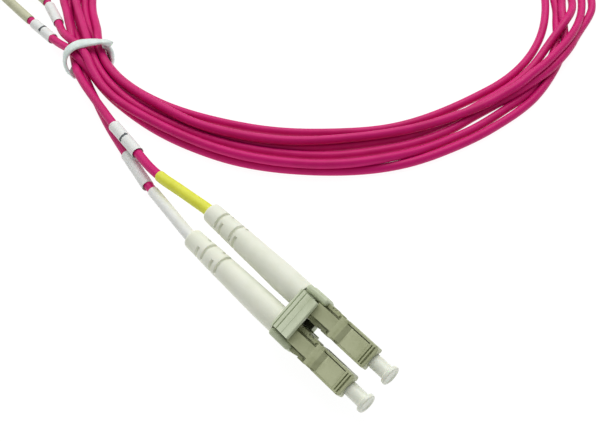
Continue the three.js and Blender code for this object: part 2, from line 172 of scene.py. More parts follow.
# ------------------------------------------------------------------ mesh helpers, all in millimetres
def add(name, verts, faces, slot, body, mat=None, sharp=35, replaces=()):
    me = bpy.data.meshes.new(name)
    me.from_pydata([tuple(v) for v in (np.asarray(verts) * MM)], [], faces)
    me.validate()
    me.polygons.foreach_set("use_smooth", [True] * len(me.polygons))
    me.update()
    if sharp:
        me.set_sharp_from_angle(angle=math.radians(sharp))
    o = bpy.data.objects.new(name, me)
    scene.collection.objects.link(o)
    me.materials.append(mat or MAT[slot])
    done(o, body, replaces)
    return o


def done(o, body, replaces=()):
    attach(o, body)
    if replaces:
        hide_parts(*replaces)


def place(verts, m):
    v = np.asarray(verts, float)
    r = np.array([[m[i][j] for j in range(3)] for i in range(3)])
    return v @ r.T + np.array([m[i][3] for i in range(3)])


def frames(path):
    """A frame that doesn't twist at each point of a path."""
    p = np.asarray(path, float)
    t = np.gradient(p, axis=0)
    t /= np.linalg.norm(t, axis=1)[:, None]
    n = np.cross(t[0], (0, 0, 1.0))
    if np.linalg.norm(n) < 1e-6:
        n = np.cross(t[0], (1.0, 0, 0))
    n /= np.linalg.norm(n)
    out = []
    for k in range(len(p)):
        n = n - t[k] * (n @ t[k])
        n /= np.linalg.norm(n)
        out.append((t[k].copy(), n.copy(), np.cross(t[k], n)))
    return p, out


def sweep(path, radius, sides, radii=None):
    """Closed round tube along a path, with domed ends; radii scales each ring."""
    p, fr = frames(path)
    a = np.arange(sides) * 2 * math.pi / sides
    verts, faces = [], []
    for k, (t, n, b) in enumerate(fr):
        rr = radius * (1 if radii is None else radii[k])
        verts += list(p[k] + rr * (np.cos(a)[:, None] * n + np.sin(a)[:, None] * b))
    for k in range(len(p) - 1):
        for i in range(sides):
            j = (i + 1) % sides
            faces.append((k * sides + i, k * sides + j, (k + 1) * sides + j, (k + 1) * sides + i))
    for k, s in ((0, -1), (len(p) - 1, 1)):
        c = len(verts)
        verts.append(p[k] + s * fr[k][0] * radius * 0.15)
        for i in range(sides):
            j = (i + 1) % sides
            q = (k * sides + i, k * sides + j)
            faces.append((c, q[1], q[0]) if s < 0 else (c, q[0], q[1]))
    return np.array(verts), faces


def pipe(path, profile, sides, bulge=None):
    """Hollow tube along a path. profile is a closed loop of (share of the path, radius); bulge(angle, share) changes the radius."""
    p, fr = frames(path)
    s = np.concatenate([[0], np.cumsum(np.linalg.norm(np.diff(p, axis=0), axis=1))])
    s /= s[-1]
    a = np.arange(sides) * 2 * math.pi / sides
    T = np.array([f[0] for f in fr])
    Nn = np.array([f[1] for f in fr])
    B = np.array([f[2] for f in fr])
    at = lambda arr, x: np.array([np.interp(x, s, arr[:, i]) for i in range(3)])
    verts, faces = [], []
    for x, r in profile:
        xc = min(1, max(0, x))
        c, n, b, t = at(p, xc), at(Nn, xc), at(B, xc), at(T, xc)
        n /= np.linalg.norm(n)
        b /= np.linalg.norm(b)
        for i in range(sides):
            rr = r + (bulge(a[i], x) if bulge else 0)
            verts.append(c + rr * (math.cos(a[i]) * n + math.sin(a[i]) * b))
    m = len(profile)
    for k in range(m):
        k2 = (k + 1) % m
        for i in range(sides):
            j = (i + 1) % sides
            faces.append((k * sides + i, k * sides + j, k2 * sides + j, k2 * sides + i))
    return np.array(verts), faces


def rounded(points, radii, n=4, closed=True):
    """2-D outline with its corners rounded. radii is one number or one for each corner."""
    pts = [np.array(p, float) for p in points]
    m = len(pts)
    rad = [radii] * m if isinstance(radii, (int, float)) else list(radii)
    out = []
    for i in range(m):
        if rad[i] <= 0:
            out.append(pts[i])
            continue
        p, a, b = pts[i], pts[i - 1] - pts[i], pts[(i + 1) % m] - pts[i]
        la, lb = np.linalg.norm(a), np.linalg.norm(b)
        a, b = a / la, b / lb
        cosang = max(-1, min(1, float(a @ b)))
        half = math.acos(cosang) / 2
        if half > math.pi / 2 - 0.03:
            out.append(p)
            continue
        d = min(rad[i] / math.tan(half), 0.45 * la, 0.45 * lb)
        r = d * math.tan(half)
        c = p + (a + b) / np.linalg.norm(a + b) * (r / math.sin(half))
        s, e = p + a * d - c, p + b * d - c
        a0, a1 = math.atan2(s[1], s[0]), math.atan2(e[1], e[0])
        da = (a1 - a0 + math.pi) % (2 * math.pi) - math.pi
        for k in range(n + 1):
            t = a0 + da * k / n
            out.append(c + r * np.array([math.cos(t), math.sin(t)]))
    return out


def lathe(profile, sides, shift=None):
    """Turned about the Y axis; profile is a closed loop of (radius, y). shift(angle, r, y) moves the radius."""
    verts, faces, rings = [], [], []
    for r, y in profile:
        if r < 1e-6:
            rings.append((len(verts), 1))
            verts.append((0, y, 0))
            continue
        rings.append((len(verts), sides))
        for i in range(sides):
            a = 2 * math.pi * i / sides
            rr = r + (shift(a, r, y) if shift else 0)
            verts.append((rr * math.sin(a), y, rr * math.cos(a)))
    m = len(profile)
    for k in range(m):
        (s0, n0), (s1, n1) = rings[k], rings[(k + 1) % m]
        if n0 == 1 and n1 == 1:
            continue
        for i in range(sides):
            j = (i + 1) % sides
            if n0 == 1:
                faces.append((s0, s1 + j, s1 + i))
            elif n1 == 1:
                faces.append((s0 + i, s0 + j, s1))
            else:
                faces.append((s0 + i, s0 + j, s1 + j, s1 + i))
    return np.array(verts), faces


def turn_out(verts, faces):
    """Faces turned to point out of a closed mesh."""
    v = np.asarray(verts)
    vol = 0.0
    for f in faces:
        for k in range(1, len(f) - 1):
            vol += np.dot(v[f[0]], np.cross(v[f[k]], v[f[k + 1]]))
    return [tuple(reversed(f)) for f in faces] if vol < 0 else faces


def slab(outline, x0, x1):
    """Outline of (y, z) points pulled across X."""
    n = len(outline)
    verts = [(x0, y, z) for y, z in outline] + [(x1, y, z) for y, z in outline]
    faces = [tuple(range(n)), tuple(reversed(range(n, 2 * n)))]
    faces += [(i, i + n, (i + 1) % n + n, (i + 1) % n) for i in range(n)]
    faces = turn_out(verts, [tuple(reversed(f)) for f in faces])
    return np.array(verts), faces


def brick(x0, x1, y0, y1, z0, z1):
    return slab([(y0, z0), (y1, z0), (y1, z1), (y0, z1)], x0, x1)


def temp(verts, faces):
    me = bpy.data.meshes.new("temp")
    me.from_pydata([tuple(v) for v in (np.asarray(verts) * MM)], [], faces)
    me.validate()
    o = bpy.data.objects.new("temp", me)
    scene.collection.objects.link(o)
    return o


def from_cad(node, name, back=None):
    """A working copy of a CAD node's mesh, cleaned to its flat faces; back brings it to its own axes."""
    me = NODES[node].data.copy()
    me.materials.clear()
    bm = bmesh.new()
    bm.from_mesh(me)
    if back is not None:
        bmesh.ops.transform(bm, matrix=back, verts=bm.verts)
    bmesh.ops.remove_doubles(bm, verts=bm.verts, dist=1e-6)
    bmesh.ops.dissolve_limit(bm, angle_limit=math.radians(1), verts=bm.verts, edges=bm.edges)
    bm.to_mesh(me)
    bm.free()
    o = bpy.data.objects.new(name, me)
    scene.collection.objects.link(o)
    return o


def combine(o, shapes, op):
    """o cut by, or joined with, simple shapes."""
    for verts, faces in shapes:
        c = temp(verts, faces)
        md = o.modifiers.new("bool", "BOOLEAN")
        md.object = c
        md.operation = op
        md.solver = "EXACT"
        bake(o)
        me = c.data
        bpy.data.objects.remove(c)
        bpy.data.meshes.remove(me)


def bake(o):
    dg = bpy.context.evaluated_depsgraph_get()
    me = bpy.data.meshes.new_from_object(o.evaluated_get(dg))
    old = o.data
    o.modifiers.clear()
    o.data = me
    bpy.data.meshes.remove(old)


def soften(o, width, segs=2, angle=32, pick=None, wide=None, wide_segs=4, sharp=38):
    """Rounds the edges: those that pick(middle, direction) chooses get the wide radius, the others the small one."""
    bm = bmesh.new()
    bm.from_mesh(o.data)
    bmesh.ops.remove_doubles(bm, verts=bm.verts, dist=1e-6)
    bmesh.ops.dissolve_limit(bm, angle_limit=math.radians(1), verts=bm.verts, edges=bm.edges)
    if pick:
        es = []
        for e in bm.edges:
            if len(e.link_faces) == 2 and e.calc_face_angle(0) > math.radians(angle):
                mid = (e.verts[0].co + e.verts[1].co) / 2 / MM
                d = (e.verts[1].co - e.verts[0].co).normalized()
                if pick(mid, d):
                    es.append(e)
        bmesh.ops.bevel(bm, geom=es, offset=wide * MM, segments=wide_segs, profile=0.5, affect="EDGES", clamp_overlap=True)
    bm.to_mesh(o.data)
    bm.free()
    md = o.modifiers.new("bevel", "BEVEL")
    md.width = width * MM
    md.segments = segs
    md.limit_method = "ANGLE"
    md.angle_limit = math.radians(angle)
    md.use_clamp_overlap = True
    bake(o)
    me = o.data
    me.polygons.foreach_set("use_smooth", [True] * len(me.polygons))
    me.set_sharp_from_angle(angle=math.radians(sharp))
    w = o.modifiers.new("normals", "WEIGHTED_NORMAL")
    w.keep_sharp = True
    bake(o)


def to_place(o, m):
    """m in millimetres."""
    mm = m.copy()
    mm.translation = mm.translation * MM
    o.data.transform(mm)


# ------------------------------------------------------------------ the two cords: centre lines in millimetres
def unpack(flat):
    p = np.array(flat, float).reshape(-1, 3)
    p[:, 2] = np.maximum(p[:, 2], 1.0)
    return p


ROUTE_A = unpack([
    -2.87, -4.70, 6.99, -2.87, -9.70, 6.99, -2.87, -14.70, 6.99, -2.87, -19.70, 6.99, -2.83, -24.70, 6.97,
    -2.56, -29.66, 6.42, -2.29, -34.61, 5.78, -1.97, -39.56, 5.14, -2.08, -44.54, 4.66, -2.74, -49.47, 4.19,
    -3.34, -54.42, 3.90, -3.89, -59.38, 3.62, -4.67, -64.32, 3.34, -5.54, -69.24, 3.07, -6.39, -74.17, 2.84,
    -7.33, -79.06, 2.66, -8.64, -83.91, 2.40, -10.58, -88.47, 1.83, -12.82, -92.93, 2.07, -15.30, -97.20, 2.81,
    -17.33, -101.68, 2.91, -19.42, -106.16, 2.90, -21.34, -110.70, 2.53, -23.72, -115.03, 1.81, -26.65, -119.04, 1.21,
    -29.89, -122.84, 1.01, -33.39, -126.41, 1.00, -37.16, -129.69, 1.00, -41.26, -132.56, 1.00, -45.60, -135.04, 1.00,
    -50.11, -137.19, 1.00, -54.76, -139.02, 1.00, -59.53, -140.52, 1.00, -64.39, -141.72, 1.00, -69.31, -142.61, 1.00,
    -74.27, -143.18, 1.00, -79.27, -143.39, 1.00, -84.26, -143.25, 1.00, -89.24, -142.73, 1.00, -94.16, -141.85, 1.00,
    -99.00, -140.62, 1.00, -103.75, -139.05, 1.00, -108.37, -137.14, 1.00, -112.85, -134.91, 1.00, -117.15, -132.37, 1.00,
    -121.26, -129.52, 1.00, -125.15, -126.39, 1.00, -128.81, -122.98, 1.00, -132.22, -119.32, 1.00, -135.35, -115.43, 1.00,
    -138.20, -111.32, 1.00, -140.75, -107.02, 1.00, -142.99, -102.55, 1.00, -144.90, -97.92, 1.00, -146.47, -93.18, 1.00,
    -147.69, -88.33, 1.00, -148.57, -83.41, 1.00, -149.10, -78.44, 1.00, -149.27, -73.44, 1.00, -149.11, -68.45, 1.00,
    -148.62, -63.47, 1.00, -147.80, -58.54, 1.06, -146.59, -53.73, 1.65, -144.79, -49.16, 2.58, -142.31, -44.84, 2.91,
    -139.66, -40.66, 2.44, -136.94, -36.55, 1.72, -134.08, -32.49, 1.20, -130.96, -28.50, 1.01, -127.37, -24.57, 1.00,
    -122.90, -20.70, 1.20, -117.19, -17.10, 1.87, -110.60, -14.11, 2.93, -103.80, -11.88, 3.93, -97.30, -10.50, 4.38,
    -91.36, -9.67, 4.49, -86.31, -9.30, 4.73, -82.22, -9.21, 4.38, -78.89, -9.58, 3.88, -75.80, -10.11, 3.42,
    -72.60, -10.67, 3.10, -69.13, -11.41, 2.98, -65.35, -12.40, 2.92, -61.24, -13.59, 2.93, -56.87, -15.06, 2.95,
    -52.40, -17.00, 2.94, -47.96, -19.35, 2.94, -43.65, -21.97, 2.93, -39.50, -24.76, 2.93, -35.46, -27.64, 2.96,
    -31.66, -30.76, 3.00, -28.22, -34.30, 3.00, -25.14, -38.23, 2.98, -22.41, -42.41, 2.95, -20.03, -46.76, 2.93,
    -18.11, -51.29, 2.94, -16.79, -56.11, 2.98, -15.78, -61.07, 2.98, -14.95, -66.05, 2.94, -14.40, -71.03, 2.90,
    -14.36, -75.99, 2.94, -15.03, -80.87, 3.18, -16.52, -85.57, 3.52, -18.70, -90.04, 3.42, -21.08, -94.39, 2.57,
    -23.16, -98.84, 1.54, -25.27, -103.32, 1.01, -27.89, -107.58, 1.00, -30.91, -111.56, 1.00, -34.32, -115.22, 1.00,
    -38.11, -118.47, 1.00, -42.17, -121.39, 1.00, -46.39, -124.08, 1.00, -50.76, -126.50, 1.00, -55.32, -128.55, 1.00,
    -60.04, -130.20, 1.00, -64.87, -131.47, 1.00, -69.80, -132.32, 1.00, -74.78, -132.79, 1.00, -79.78, -132.86, 1.00,
    -84.77, -132.54, 1.00, -89.71, -131.82, 1.00, -94.58, -130.71, 1.00, -99.35, -129.20, 1.00, -103.97, -127.30, 1.00,
    -108.43, -125.02, 1.00, -112.67, -122.38, 1.00, -116.69, -119.40, 1.00, -120.44, -116.10, 1.00, -123.91, -112.50, 1.00,
    -127.07, -108.63, 1.00, -129.90, -104.50, 1.00, -132.37, -100.16, 1.00, -134.48, -95.63, 1.00, -136.20, -90.94, 1.00,
    -137.52, -86.11, 1.00, -138.43, -81.20, 1.00, -138.90, -76.22, 1.00, -138.94, -71.22, 1.00, -138.55, -66.24, 1.00,
    -137.71, -61.31, 1.00, -136.42, -56.48, 1.00, -134.71, -51.78, 1.00, -132.60, -47.25, 1.00, -130.11, -42.92, 1.00,
    -127.26, -38.81, 1.00, -124.08, -34.94, 1.00, -120.61, -31.31, 1.00, -116.89, -27.94, 1.00, -113.01, -24.90, 1.00,
    -108.94, -22.16, 1.00, -104.63, -19.73, 1.00, -100.12, -17.72, 1.00, -95.34, -16.11, 1.00, -90.38, -15.02, 1.00,
    -85.27, -14.47, 1.00, -80.18, -14.50, 1.00, -75.19, -15.04, 1.00, -70.25, -15.75, 1.00, -65.44, -16.64, 1.00,
    -60.66, -17.80, 1.00, -55.95, -19.31, 1.00, -51.40, -21.31, 1.00, -47.12, -23.88, 1.00, -43.12, -26.86, 1.00,
    -39.27, -30.06, 1.00, -35.56, -33.43, 1.00, -32.10, -37.04, 1.00, -28.96, -40.92, 1.00, -26.14, -45.06, 1.00,
    -23.55, -49.35, 1.00, -21.21, -53.74, 1.00, -19.17, -58.31, 1.00, -17.54, -63.04, 1.00, -16.36, -67.90, 1.00,
    -15.69, -72.84, 1.02, -15.58, -77.80, 1.12, -16.12, -82.73, 1.37, -17.25, -87.57, 1.58, -18.78, -92.30, 1.38,
    -20.38, -97.05, 1.13, -22.27, -101.67, 1.02, -24.59, -106.10, 1.00, -27.38, -110.25, 1.00, -30.53, -114.13, 1.00,
    -34.07, -117.66, 1.00, -37.95, -120.81, 1.00, -42.05, -123.67, 1.00, -46.29, -126.31, 1.00, -50.70, -128.68, 1.00,
    -55.28, -130.68, 1.00, -60.00, -132.31, 1.00, -64.84, -133.56, 1.00, -69.77, -134.40, 1.00, -74.75, -134.83, 1.00,
    -79.75, -134.91, 1.00, -84.73, -134.69, 1.28, -89.65, -134.27, 2.10, -94.57, -133.81, 2.85, -99.50, -133.12, 2.71,
    -104.23, -131.78, 1.86, -108.74, -129.75, 1.16, -113.08, -127.27, 1.00, -117.21, -124.46, 1.00, -121.12, -121.34, 1.00,
    -124.77, -117.92, 1.00, -128.14, -114.23, 1.00, -131.22, -110.30, 1.00, -133.98, -106.13, 1.00, -136.40, -101.75, 1.00,
    -138.46, -97.20, 1.00, -140.16, -92.50, 1.00, -141.49, -87.68, 1.00, -142.45, -82.77, 1.00, -143.03, -77.81, 1.00,
    -143.20, -72.81, 1.00, -142.93, -67.82, 1.00, -142.23, -62.87, 1.00, -141.11, -58.00, 1.00, -139.61, -53.23, 1.00,
    -137.76, -48.58, 1.00, -135.56, -44.10, 1.00, -133.01, -39.81, 1.00, -130.10, -35.73, 1.00, -126.81, -31.82, 1.10,
    -123.05, -28.02, 1.51, -118.66, -24.31, 2.26, -113.99, -20.79, 2.65, -110.26, -17.33, 2.00, -106.99, -14.44, 1.42,
    -103.77, -12.39, 1.00, -100.28, -10.72, 1.00, -96.44, -9.17, 1.00, -92.20, -7.79, 1.00, -87.46, -6.53, 1.00,
    -82.19, -5.61, 1.00, -76.58, -5.37, 1.00, -71.11, -5.61, 1.00, -65.88, -6.07, 1.00, -60.93, -6.87, 1.00,
    -56.09, -7.95, 1.00, -51.26, -9.27, 1.00, -46.56, -10.99, 1.00, -42.07, -13.21, 1.00, -37.86, -15.90, 1.00,
    -33.94, -18.96, 1.00, -30.22, -22.33, 1.00, -26.71, -25.94, 1.00, -23.46, -29.73, 1.00, -20.52, -33.76, 1.00,
    -17.96, -38.05, 1.00, -15.84, -42.58, 1.00, -14.04, -47.26, 1.00, -12.56, -52.02, 1.00, -11.46, -56.88, 1.00,
    -10.75, -61.82, 1.00, -10.35, -66.81, 1.00, -10.21, -71.79, 1.06, -10.40, -76.75, 1.46, -10.85, -81.64, 2.44,
    -11.02, -86.58, 3.50, -11.06, -91.53, 3.53, -11.09, -96.43, 2.39, -11.16, -101.38, 1.76, -11.18, -106.37, 1.59,
    -11.00, -111.37, 1.73, -10.79, -116.34, 2.21, -10.61, -121.31, 2.75, -10.55, -126.30, 3.00, -10.55, -131.30, 3.01,
    -10.56, -136.30, 3.00, -10.55, -141.30, 3.00, -10.55, -146.30, 3.00,
])
ROUTE_B = unpack([
    2.67, -4.70, 4.09, 2.67, -9.70, 4.09, 2.67, -14.70, 4.09, 2.67, -19.70, 4.09, 2.64, -24.70, 4.07,
    1.97, -29.62, 3.50, 1.22, -34.53, 2.85, 0.48, -39.43, 2.17, -0.29, -44.35, 1.74, -1.12, -49.27, 1.53,
    -2.06, -54.19, 1.48, -3.10, -59.07, 1.18, -4.18, -63.93, 1.06, -5.46, -68.72, 1.02, -6.85, -73.44, 1.00,
    -8.19, -78.16, 1.05, -9.77, -82.73, 1.21, -12.12, -87.15, 1.53, -14.26, -91.61, 1.55, -16.07, -96.29, 1.22,
    -17.62, -100.96, 1.05, -19.62, -105.47, 1.00, -22.19, -109.79, 1.00, -25.08, -113.87, 1.00, -28.16, -117.81, 1.00,
    -31.42, -121.61, 1.00, -34.93, -125.17, 1.00, -38.75, -128.39, 1.00, -42.91, -131.17, 1.00, -47.28, -133.60, 1.00,
    -51.81, -135.72, 1.00, -56.47, -137.52, 1.00, -61.26, -138.95, 1.00, -66.14, -140.07, 1.00, -71.08, -140.85, 1.00,
    -76.06, -141.28, 1.00, -81.06, -141.34, 1.00, -86.05, -141.04, 1.00, -91.00, -140.36, 1.00, -95.89, -139.30, 1.00,
    -100.69, -137.88, 1.00, -105.36, -136.10, 1.00, -109.89, -133.99, 1.00, -114.25, -131.55, 1.00, -118.43, -128.79, 1.00,
    -122.39, -125.74, 1.00, -126.12, -122.41, 1.00, -129.60, -118.82, 1.00, -132.82, -114.99, 1.00, -135.73, -110.93, 1.00,
    -138.34, -106.66, 1.00, -140.63, -102.22, 1.00, -142.61, -97.62, 1.00, -144.27, -92.91, 1.00, -145.59, -88.09, 1.00,
    -146.54, -83.18, 1.00, -147.11, -78.21, 1.00, -147.30, -73.21, 1.00, -147.12, -68.22, 1.00, -146.58, -63.24, 1.00,
    -145.71, -58.32, 1.00, -144.59, -53.45, 1.00, -143.45, -48.58, 1.00, -142.30, -43.71, 1.00, -140.55, -39.03, 1.00,
    -138.27, -34.57, 1.00, -135.56, -30.34, 1.00, -132.49, -26.37, 1.00, -129.16, -22.73, 1.00, -125.78, -19.60, 1.00,
    -122.63, -17.30, 1.00, -119.62, -15.95, 1.00, -116.52, -14.94, 1.00, -113.10, -13.96, 1.01, -109.10, -12.68, 1.36,
    -104.44, -10.96, 2.25, -98.53, -9.40, 2.92, -91.82, -8.51, 2.91, -84.81, -8.60, 2.82, -78.48, -9.44, 1.84,
    -73.04, -10.48, 1.14, -67.89, -11.14, 1.00, -62.91, -11.54, 1.00, -58.09, -12.36, 1.00, -53.36, -13.69, 1.00,
    -48.78, -15.56, 1.00, -44.36, -17.89, 1.00, -40.05, -20.47, 1.00, -35.95, -23.38, 1.00, -32.22, -26.70, 1.00,
    -28.81, -30.37, 1.00, -25.66, -34.27, 1.00, -22.82, -38.42, 1.00, -20.36, -42.78, 1.00, -18.27, -47.34, 1.00,
    -16.50, -52.06, 1.00, -15.00, -56.87, 1.00, -13.64, -61.70, 1.12, -12.57, -66.57, 1.45, -12.01, -71.48, 1.96,
    -12.11, -76.40, 2.48, -12.87, -81.28, 2.98, -14.35, -86.01, 3.51, -16.20, -90.63, 3.67, -18.09, -95.25, 3.21,
    -19.97, -99.88, 2.93, -21.84, -104.52, 2.90, -23.90, -109.07, 2.95, -26.38, -113.41, 2.83, -29.37, -117.41, 2.63,
    -32.78, -121.06, 2.42, -36.51, -124.37, 2.04, -40.50, -127.33, 1.49, -44.73, -129.97, 1.07, -49.13, -132.33, 1.00,
    -53.70, -134.37, 1.00, -58.42, -136.03, 1.00, -63.24, -137.32, 1.00, -68.16, -138.26, 1.00, -73.12, -138.85, 1.00,
    -78.12, -139.07, 1.00, -83.11, -138.92, 1.00, -88.08, -138.36, 1.00, -93.00, -137.44, 1.00, -97.84, -136.20, 1.00,
    -102.59, -134.62, 1.00, -107.21, -132.70, 1.00, -111.66, -130.43, 1.00, -115.93, -127.82, 1.00, -119.99, -124.90, 1.00,
    -123.82, -121.69, 1.00, -127.38, -118.18, 1.00, -130.66, -114.41, 1.00, -133.64, -110.39, 1.00, -136.30, -106.16, 1.00,
    -138.65, -101.75, 1.00, -140.66, -97.17, 1.00, -142.32, -92.45, 1.00, -143.62, -87.62, 1.00, -144.54, -82.70, 1.00,
    -145.08, -77.73, 1.00, -145.25, -72.74, 1.00, -145.03, -67.74, 1.00, -144.43, -62.78, 1.00, -143.40, -57.88, 1.00,
    -141.97, -53.09, 1.00, -140.17, -48.43, 1.00, -138.01, -43.92, 1.00, -135.53, -39.58, 1.00, -132.76, -35.41, 1.00,
    -129.71, -31.42, 1.00, -126.37, -27.62, 1.03, -122.70, -24.07, 1.35, -118.64, -20.88, 2.15, -114.40, -18.54, 3.28,
    -109.76, -16.88, 3.91, -105.00, -15.88, 3.12, -100.18, -14.86, 2.09, -95.27, -13.70, 1.32, -90.28, -12.78, 1.03,
    -85.22, -12.30, 1.00, -80.11, -12.34, 1.00, -74.96, -12.69, 1.00, -69.87, -13.12, 1.00, -64.84, -13.64, 1.00,
    -59.96, -14.44, 1.00, -55.23, -15.66, 1.00, -50.73, -17.41, 1.00, -46.38, -19.71, 1.00, -42.10, -22.29, 1.00,
    -37.95, -25.10, 1.00, -34.05, -28.24, 1.00, -30.50, -31.74, 1.00, -27.32, -35.55, 1.00, -24.47, -39.67, 1.00,
    -21.98, -44.03, 1.00, -19.89, -48.60, 1.00, -18.14, -53.29, 1.00, -16.68, -58.12, 1.00, -15.38, -62.99, 1.00,
    -14.32, -67.89, 1.00, -13.67, -72.83, 1.01, -13.54, -77.79, 1.08, -14.04, -82.72, 1.31, -15.18, -87.57, 1.56,
    -16.74, -92.33, 1.45, -18.37, -97.07, 1.17, -20.09, -101.73, 1.03, -22.25, -106.21, 1.00, -24.99, -110.39, 1.00,
    -28.07, -114.32, 1.00, -31.50, -117.96, 1.00, -35.28, -121.24, 1.00, -39.31, -124.19, 1.00, -43.50, -126.92, 1.00,
    -47.82, -129.44, 1.00, -52.30, -131.66, 1.00, -56.96, -133.49, 1.00, -61.74, -134.93, 1.00, -66.63, -135.99, 1.00,
    -71.58, -136.68, 1.00, -76.57, -137.00, 1.00, -81.57, -136.95, 1.00, -86.55, -136.50, 1.00, -91.45, -135.49, 1.00,
    -96.13, -133.75, 1.00, -100.63, -131.57, 1.00, -105.12, -129.37, 1.00, -109.55, -127.05, 1.00, -113.81, -124.43, 1.00,
    -117.84, -121.47, 1.00, -121.61, -118.19, 1.00, -125.10, -114.61, 1.00, -128.31, -110.77, 1.00, -131.19, -106.69, 1.00,
    -133.75, -102.39, 1.00, -135.94, -97.89, 1.00, -137.74, -93.23, 1.00, -139.15, -88.43, 1.00, -140.17, -83.54, 1.00,
    -140.79, -78.58, 1.00, -141.01, -73.58, 1.00, -140.81, -68.58, 1.00, -140.21, -63.62, 1.00, -139.19, -58.73, 1.00,
    -137.74, -53.94, 1.00, -135.88, -49.30, 1.00, -133.64, -44.83, 1.00, -131.02, -40.57, 1.00, -128.06, -36.53, 1.00,
    -124.80, -32.73, 1.00, -121.36, -29.13, 1.00, -117.95, -25.72, 1.00, -114.64, -22.66, 1.00, -110.82, -19.81, 1.00,
    -106.54, -16.47, 1.00, -101.68, -13.55, 1.00, -96.81, -11.46, 1.00, -92.57, -10.01, 1.00, -88.85, -8.93, 1.00,
    -85.20, -8.01, 1.00, -80.86, -7.63, 1.00, -75.78, -7.84, 1.00, -70.11, -8.05, 1.00, -64.42, -8.61, 1.00,
    -59.01, -9.70, 1.02, -53.71, -10.84, 1.24, -48.66, -12.16, 1.75, -43.95, -13.84, 2.39, -39.50, -15.87, 2.80,
    -35.29, -18.37, 2.97, -31.37, -21.43, 3.01, -27.79, -24.92, 3.00, -24.49, -28.70, 3.00, -21.52, -32.70, 3.00,
    -18.92, -36.94, 2.99, -16.71, -41.40, 2.98, -14.87, -46.01, 2.98, -13.32, -50.78, 2.97, -12.00, -55.63, 3.00,
    -10.90, -60.53, 3.02, -10.05, -65.46, 2.98, -9.63, -70.42, 3.02, -9.85, -75.34, 3.37, -10.79, -80.15, 4.08,
    -12.24, -84.87, 4.77, -13.04, -89.78, 4.42, -13.14, -94.74, 4.03, -14.18, -99.63, 2.47, -15.71, -104.31, 1.74,
    -17.14, -109.09, 1.58, -18.17, -113.98, 1.75, -17.85, -118.91, 2.29, -17.01, -123.81, 2.87, -16.79, -128.79, 3.02,
    -16.81, -133.80, 3.00, -16.80, -138.80, 3.00, -16.80, -143.80, 3.00, -16.80, -146.30, 3.00,
])


def smooth(p, n=4):
    q = np.vstack([2 * p[0] - p[1], p, 2 * p[-1] - p[-2]])
    out = []
    for i in range(1, len(q) - 2):
        a, b, c, d = q[i - 1], q[i], q[i + 1], q[i + 2]
        for k in range(n):
            t = k / n
            out.append(0.5 * (2 * b + (c - a) * t + (2 * a - 5 * b + 4 * c - d) * t * t + (3 * b - a - 3 * c + d) * t ** 3))
    out.append(p[-1])
    out = np.array(out)
    out[:, 2] = np.maximum(out[:, 2], 1.0)
    return out


LINE = {"a": smooth(ROUTE_A), "b": smooth(ROUTE_B)}
for k, line in LINE.items():
    v, f = sweep(line, 1.0, 18)
    rep = (f"near_leg_{k}", f"far_leg_{k}", "cord_coil")
    add(f"cord_{k}", v, turn_out(v, f), "jacket", "root", sharp=60, replaces=rep)


def portion(k, y0, y1, first=True, n=None):
    """The stretch of a cord's line between two heights in y, on its first or its last run."""
    p = LINE[k]
    half = len(p) // 6
    idx = [i for i in (range(half) if first else range(len(p) - half, len(p))) if min(y0, y1) - 0.001 <= p[i][1] <= max(y0, y1) + 0.001]
    q = p[idx[0]:idx[-1] + 1]
    s = np.concatenate([[0], np.cumsum(np.linalg.norm(np.diff(q, axis=0), axis=1))])
    m = n or max(8, len(q))
    x = np.linspace(0, s[-1], m)
    return np.stack([np.interp(x, s, q[:, i]) for i in range(3)], 1)


# ------------------------------------------------------------------ axes of the two ends
ROLL = math.radians(27.66)
NEAR = Matrix.Translation((-0.12, 20.90, 5.48)) @ Matrix.Rotation(ROLL, 4, "Y")
FAR = Matrix.Translation((-13.68, -172.0, 3.0)) @ Matrix.Rotation(math.pi, 4, "Z")
ENDS = {"near": NEAR, "far": FAR}
SIDE = {"a": -3.125, "b": 3.125}


def own(end, side=None):
    m = ENDS[end]
    return m @ Matrix.Translation((SIDE[side], 0, 0)) if side else m.copy()


def back_to_own(end, side=None):
    m = own(end, side).inverted()
    m.translation = m.translation * MM
    return m


